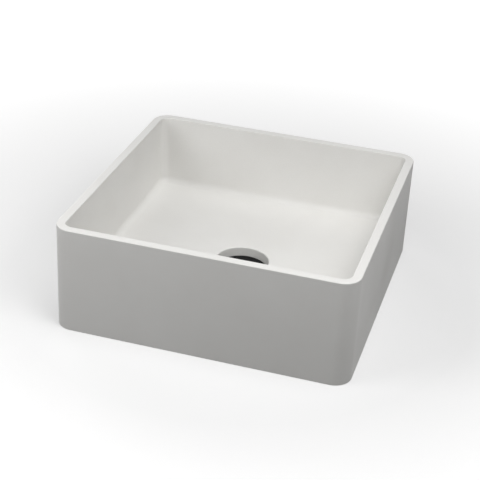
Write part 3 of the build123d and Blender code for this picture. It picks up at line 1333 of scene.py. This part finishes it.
    def seals(self) -> None:
        """The flat gasket above the ledge, the bevelled ring under the boss and the slip washer."""
        bore = self.thread_radius + self.fit
        span = span_of("flange_gasket")
        gasket = band_outline(self.gasket_inner, span.radius, span, self.gasket_edge, self.gasket_edge)
        self.ring("flange_seal_ring", gasket, Slot.RUBBER, "flange_gasket")
        span = span_of("lower_seal")
        seal = rounded_outline([
            (bore, span.low, self.seal_edge),
            (span.radius - self.seal_bevel, span.low, self.seal_foot_edge),
            (span.radius, span.low + self.seal_bevel, self.seal_shoulder_edge),
            (span.radius, span.high, self.seal_edge),
            (bore, span.high, self.seal_edge),
        ], steps=self.seal_arc_steps, support=self.seal_support)
        self.ring("bevelled_seal_ring", seal, Slot.RUBBER, "lower_seal")
        span = span_of("slip_washer")
        washer = band_outline(bore, span.radius, span, self.washer_bore_edge, self.washer_edge)
        self.ring("nylon_washer", washer, Slot.NYLON, "slip_washer")

    def nut(self) -> None:
        """The large nut under the basin."""
        nut = HexagonNut(
            flats=self.nut_flats,
            corner=self.nut_corner,
            cone=self.nut_chamfer,
            bore=self.thread_radius + self.fit,
        )
        piece = nut.make("backnut_hexagon", span_of("backnut"))
        self.wardrobe.place(piece, Slot.BRASS, Body.BASIN, "backnut")

    def build(self) -> None:
        """Builds every piece of the waste that stays with the basin."""
        self.tube()
        self.spider()
        self.seals()
        self.nut()


@dataclass
class Plug(SubAssembly):
    """The pieces of the plug that rise and fall: the black cover and its seal."""

    edge: float = 1.0
    plate: float = 1.8
    skirt_wall: float = 2.0
    skirt_fillet: float = 0.5
    rim_edge: float = 0.25
    boss_radius: float = 6.5
    boss_depth: float = 3.0
    boss_edge: float = 0.4
    hole_radius: float = 3.05
    hole_roof: float = 24.1
    hole_edge: float = 0.3
    roof_edge: float = 0.1
    pole_radius: float = 0.6
    flat_share: float = 0.6
    seal_width: float = 4.5
    seal_grip: float = 1.0
    seal_edge: float = 0.2
    lip_step_edge: float = 0.1
    lip_edge: float = 0.08
    cover_support: float = 0.1
    seal_support: float = 0.03
    cover_around: int = 128
    seal_around: int = 96
    cover_arc_steps: int = 6
    seal_arc_steps: int = 3

    def cover(self) -> None:
        """The round cover: a flat top with a rounded edge, a skirt and a boss with a blind hole."""
        span = span_of("plug_cap")
        radius, skirt = span.radius, span.radius - self.skirt_wall
        ceiling = span.high - self.plate
        boss_end = ceiling - self.boss_depth
        outline = rounded_outline([
            (self.pole_radius, self.hole_roof, 0.0),
            (self.hole_radius, self.hole_roof, self.roof_edge),
            (self.hole_radius, boss_end, self.hole_edge),
            (self.boss_radius, boss_end, self.boss_edge),
            (self.boss_radius, ceiling, self.boss_edge),
            (skirt, ceiling, self.skirt_fillet),
            (skirt, span.low, self.rim_edge),
            (radius, span.low, self.rim_edge),
            (radius, span.high, self.edge),
            (radius * self.flat_share, span.high, 0.0),
            (self.pole_radius, span.high, 0.0),
        ], steps=self.cover_arc_steps, support=self.cover_support)
        piece = lathe("plug_cover", outline, self.cover_around, poles=(self.hole_roof, span.high))
        self.wardrobe.place(piece, Slot.BLACK, Body.PLUG, "plug_cap")

    def seal(self) -> None:
        """The soft ring in the carrier's groove, drawn as pressed, so that its lip clears the travel."""
        span = span_of("plug_seal")
        inner, step = span.radius - self.seal_width, span.high - self.seal_grip
        travel = frame["record"]["behaviour"]["joints"][0]["range_m"]
        lip = span.low - travel[0] / MM
        quarter = self.seal_width / 4
        outline = rounded_outline([
            (inner + quarter, lip, self.lip_edge),
            (span.radius - quarter, lip, self.lip_edge),
            (span.radius, step, self.lip_step_edge),
            (span.radius, span.high, self.seal_edge),
            (inner, span.high, self.seal_edge),
            (inner, step, self.lip_step_edge),
        ], steps=self.seal_arc_steps, support=self.seal_support)
        piece = lathe("plug_seal_ring", outline, self.seal_around)
        self.wardrobe.place(piece, Slot.RUBBER, Body.PLUG, "plug_seal")

    def build(self) -> None:
        """Builds the cover and the seal of the plug."""
        self.cover()
        self.seal()


@dataclass
class Cartridge(SubAssembly):
    """The soft and wound pieces in the cartridge: the ring round the stem and the return spring."""

    coil_radius: float = 4.9
    wire_radius: float = 0.45
    turns: int = 5
    end_pitch: float = 0.4
    end_turns: float = 0.5
    full_turns: float = 1.25
    turn_steps: int = 40
    wire_steps: int = 12
    ring_around: int = 64
    ring_steps: int = 24

    def centre_line(self) -> np.ndarray:
        """Points along the middle of the wire, with the end turns closer together than the others.

        The height is the running sum of the pitch, scaled to fill the space between the sleeve's
        floor and the index ring. The pitch rises from its share at an end to 1.

        Returns:
            A row for each point.
        """
        turn = np.linspace(0, self.turns, self.turns * self.turn_steps + 1)
        from_end = np.minimum(turn, self.turns - turn)
        opened = smooth_step(self.end_turns, self.full_turns, from_end)
        pitch = self.end_pitch + (1 - self.end_pitch) * opened
        climb = np.concatenate([[0.0], np.cumsum((pitch[1:] + pitch[:-1]) / 2)])
        span = span_of("return_spring")
        low, high = span.low + self.wire_radius, span.high - self.wire_radius
        angle = 2 * math.pi * turn
        across, along = self.coil_radius * np.cos(angle), self.coil_radius * np.sin(angle)
        return np.column_stack([across, along, low + (high - low) * climb / climb[-1]])

    def stem_ring(self) -> None:
        """The rubber ring in the lid: a circle turned about the axis."""
        span = span_of("stem_oring")
        half = (span.high - span.low) / 2
        middle = np.array([span.radius - half, span.low + half])
        outline = circle_plan(half, self.ring_steps).points + middle
        piece = lathe("stem_ring", outline, self.ring_around)
        self.wardrobe.place(piece, Slot.RUBBER, Body.BASIN, "stem_oring")

    def spring(self) -> None:
        """The spring: at each point a circle spanned by the ray and by the tangent cross the ray."""
        line = self.centre_line()
        tangent = np.gradient(line, axis=0)
        tangent /= np.linalg.norm(tangent, axis=1, keepdims=True)
        ray = line * np.array([1.0, 1.0, 0.0]) / self.coil_radius
        across = np.cross(tangent, ray)
        circle = circle_plan(self.wire_radius, self.wire_steps).points
        spokes = circle[None, :, :1] * ray[:, None] + circle[None, :, 1:] * across[:, None]
        piece = make_piece("return_spring_wire", line[:, None] + spokes, line[[0, -1]])
        mark_edges(piece, np.zeros(len(piece.data.vertices)))
        wire = 2 * self.wire_radius
        self.wardrobe.stretch(piece, Slot.SPRING, line[0, 2] + wire, line[-1, 2] - wire, "return_spring")

    def build(self) -> None:
        """Builds the stem's ring and the spring."""
        self.stem_ring()
        self.spring()


# Studio


def standing(place: Place | np.ndarray, right: np.ndarray, up: np.ndarray, back: np.ndarray) -> Matrix:
    """Where an object stands and how it is turned.

    Args:
        place: Its place, in metres.
        right: Where its own +X points.
        up: Where its own +Y points.
        back: Where its own +Z points.

    Returns:
        The matrix with these four as its columns.
    """
    turn = Matrix.Identity(4)
    for row, values in enumerate(zip(right, up, back, place)):
        turn[row] = values
    return turn


@dataclass(frozen=True)
class Lamp:
    """A lamp aimed at the basin.

    The bearing is the side that it stands on, in degrees anticlockwise from +X, and the height is
    in degrees above the floor. The power is in watts, for a far lamp on each square metre.
    """

    name: str
    power: float
    bearing: float
    height: float

    def light(self) -> bpy.types.Light:
        """Makes the light that the lamp holds."""
        raise NotImplementedError

    def place(self, back: np.ndarray) -> np.ndarray:
        """Where the lamp stands, given the direction from the basin to it."""
        return back

    def hang(self) -> None:
        """Makes the lamp, which shines along its own -Z, with +Z turned towards where it stands."""
        bearing, height = math.radians(self.bearing), math.radians(self.height)
        level = math.cos(height)
        back = np.array([math.cos(bearing) * level, math.sin(bearing) * level, math.sin(height)])
        side = np.array([-math.sin(bearing), math.cos(bearing), 0.0])
        lamp = add_object(self.name, self.light())
        lamp.matrix_world = standing(self.place(back), side, np.cross(back, side), back)
        lamp.visible_camera = False


@dataclass(frozen=True)
class FarLamp(Lamp):
    """A lamp whose light comes evenly from one side. The breadth is the angle that it fills."""

    breadth: float = 30.0

    def light(self) -> bpy.types.Light:
        """Makes a sun light.

        Returns:
            The light, with the breadth as its angle.
        """
        data = bpy.data.lights.new(self.name, "SUN")
        data.energy = self.power
        data.angle = math.radians(self.breadth)
        return data


@dataclass(frozen=True)
class SoftBox(Lamp):
    """A round soft box that stands near, so that its light falls off across the basin.

    Its lengths are in metres.
    """

    distance: float = 1.1
    size: float = 0.7
    aim_height: float = 0.1

    def light(self) -> bpy.types.Light:
        """Makes a disc of light.

        Returns:
            The light, with the box's size as its diameter.
        """
        data = bpy.data.lights.new(self.name, "AREA")
        data.shape = "DISK"
        data.size = self.size
        data.energy = self.power
        return data

    def place(self, back: np.ndarray) -> np.ndarray:
        """The distance away from a point a little above the middle of the basin's base."""
        return back * self.distance + np.array([0.0, 0.0, self.aim_height])


LAMPS = [
    SoftBox("front_left_box", power=4.0, bearing=225.0, height=30.0),
    SoftBox("front_right_box", power=5.3, bearing=318.0, height=52.0),
    FarLamp("top_lamp", power=0.82, bearing=0.0, height=80.0),
    FarLamp("back_left_lamp", power=0.5, bearing=135.0, height=20.0),
]


@dataclass
class Studio:
    """A pale floor, soft lamps, a plain surround and the camera at the photograph's angle.

    The camera's turns are in degrees.
    """

    floor_reach: float = 12000.0
    floor_lap: float = 1.2
    floor_rings: int = 40
    floor_tone: float = 0.62
    floor_glow: tuple[float, float] = (0.32, 1.0)
    glow_reach: tuple[float, float] = (330.0, 1250.0)
    floor_lit: float = 0.15
    surround: float = 0.1
    surround_below: float = 0.45
    horizon: float = 0.02
    camera_place: Place = (0.4072, -1.4903, 0.9171)
    camera_yaw: float = -15.46
    camera_pitch: float = 28.757
    camera_roll: float = 3.038
    camera_lens: float = 94.70
    sensor_width: float = 36.0

    def floor(self, outline: Plan) -> None:
        """A flat disc at height 0 with a hole under the basin, where the tail passes.

        The rings blend from a circle far out to the basin's outline, and lie closer together
        towards it. A last ring lies inside the outline by the lap, and the band that it closes is
        marked as lying under the basin's rounded edge.

        Args:
            outline: The basin's outer outline seen from above.
        """
        growth = self.floor_reach / float(outline.points.max())
        share = (np.geomspace(growth, 1.0, self.floor_rings)[:, None, None] - 1.0) / (growth - 1.0)
        far_ring = outline.rays()[None] * self.floor_reach
        open_floor = outline.points[None] * (1 - share) + far_ring * share
        xy = np.concatenate([open_floor, outline.inset(np.array([self.floor_lap]))])
        rings = lifted(xy, np.zeros(1)).reshape(-1, 3) * MM
        faces = grid_faces(*xy.shape[:2], False)
        mesh = bpy.data.meshes.new("floor")
        mesh.from_pydata(rings.tolist(), [], faces.tolist())
        mesh.update()
        under = (faces.max(axis=1) >= len(rings) - xy.shape[1]).astype(float)
        mesh.attributes.new("under", "FLOAT", "FACE").data.foreach_set("value", under)
        mesh.materials.append(self.floor_material())
        add_object("floor", mesh)

    def seen_rays(self, tree: Tree) -> Socket:
        """Picks out the rays that show the backdrop: camera, glossy and transmission rays.

        Args:
            tree: The tree of the floor or the world.

        Returns:
            1 for these rays and 0 for others.
        """
        path = tree.add("ShaderNodeLightPath").outputs
        share = tree.maths("MAXIMUM", path["Is Camera Ray"], path["Is Glossy Ray"])
        return tree.maths("MAXIMUM", share, path["Is Transmission Ray"])

    def floor_material(self) -> bpy.types.Material:
        """Pale where it is seen, grey for the light it throws back, and see-through from below.

        The glow that is seen rises from the basin outwards, so that the floor stays white beyond
        the reach of the lamps and keeps the shadow near the basin. The band under the basin's
        rounded edge lets the light from below pass, so that the edge isn't black from below.

        Returns:
            The material.
        """
        material = bpy.data.materials.new("pale_floor")
        tree = cleared_tree(material)
        seen = self.seen_rays(tree)
        lit, tone = [(value, value, value, 1.0) for value in (self.floor_lit, self.floor_tone)]
        matt = tree.add("ShaderNodeBsdfDiffuse", {"Color": tree.mixed(seen, lit, tone)})
        place = tree.add("ShaderNodeTexCoord").outputs["Object"]
        distance = tree.add("ShaderNodeVectorMath", {0: place}, operation="LENGTH").outputs["Value"]
        near, far = (reach * MM for reach in self.glow_reach)
        strength = tree.maths("MULTIPLY", seen, tree.spread(distance, *self.floor_glow, near, far))
        glow = tree.add("ShaderNodeEmission", {"Color": WHITE, "Strength": strength})
        pale = tree.add("ShaderNodeAddShader", {0: matt.outputs[0], 1: glow.outputs[0]})
        clear = tree.add("ShaderNodeBsdfTransparent")
        back = tree.add("ShaderNodeNewGeometry").outputs["Backfacing"]
        under = tree.add("ShaderNodeAttribute", attribute_name="under").outputs["Fac"]
        passed = tree.maths("MAXIMUM", back, tree.maths("SUBTRACT", under, seen))
        both = tree.add("ShaderNodeMixShader", {0: passed, 1: pale.outputs[0], 2: clear.outputs[0]})
        tree.add("ShaderNodeOutputMaterial", {"Surface": both.outputs[0]})
        return material

    def surround_light(self) -> None:
        """A world that is white where it is seen and dimmer for the light it gives.

        Below the floor it gives more light, because no lamp reaches the underside.
        """
        world = bpy.data.worlds.new("surround")
        tree = cleared_tree(world)
        direction = tree.add("ShaderNodeTexCoord").outputs["Generated"]
        upward = tree.add("ShaderNodeSeparateXYZ", {"Vector": direction}).outputs["Z"]
        given = tree.spread(upward, self.surround_below, self.surround, -self.horizon, self.horizon)
        strength = tree.spread(self.seen_rays(tree), given, 1.0, 0.0, 1.0)
        light = tree.add("ShaderNodeBackground", {"Color": WHITE, "Strength": strength})
        tree.add("ShaderNodeOutputWorld", {"Surface": light.outputs[0]})
        bpy.context.scene.world = world

    def camera(self) -> None:
        """The camera, from its place, yaw about the vertical, pitch below the horizon and roll.

        The view direction is (sin yaw cos pitch, cos yaw cos pitch, -sin pitch). The level right
        hand is (cos yaw, -sin yaw, 0), and right and up turn about the view direction by the roll.
        """
        turns = (self.camera_yaw, self.camera_pitch, self.camera_roll)
        yaw, pitch, roll = (math.radians(turn) for turn in turns)
        flat = math.cos(pitch)
        ahead = np.array([math.sin(yaw) * flat, math.cos(yaw) * flat, -math.sin(pitch)])
        level = np.array([math.cos(yaw), -math.sin(yaw), 0.0])
        upright = np.cross(level, ahead)
        right = math.cos(roll) * level + math.sin(roll) * upright
        up = math.cos(roll) * upright - math.sin(roll) * level
        data = bpy.data.cameras.new("camera")
        data.sensor_width = self.sensor_width
        data.lens = self.camera_lens
        camera = add_object("camera", data)
        camera.matrix_world = standing(self.camera_place, right, up, -ahead)
        bpy.context.scene.camera = camera

    def build(self, outline: Plan) -> None:
        """Builds the studio and sets the plain view transform.

        Args:
            outline: The basin's outer outline seen from above.
        """
        self.floor(outline)
        self.surround_light()
        for lamp in LAMPS:
            lamp.hang()
        self.camera()
        bpy.context.scene.view_settings.view_transform = "Standard"


def write_size() -> None:
    """Updates the view layer."""
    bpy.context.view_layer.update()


def main() -> None:
    """Builds the pieces in order and reports each."""
    logging.basicConfig(level=logging.INFO, format="%(name)s: %(message)s")
    wardrobe = Wardrobe()
    bowl = Bowl(wardrobe)
    for assembly in (bowl, Waste(wardrobe), Plug(wardrobe), Cartridge(wardrobe)):
        assembly.build()
    wardrobe.dress_frame()
    Studio().build(bowl.plan())
    write_size()


if __name__ == "__main__":
    main()
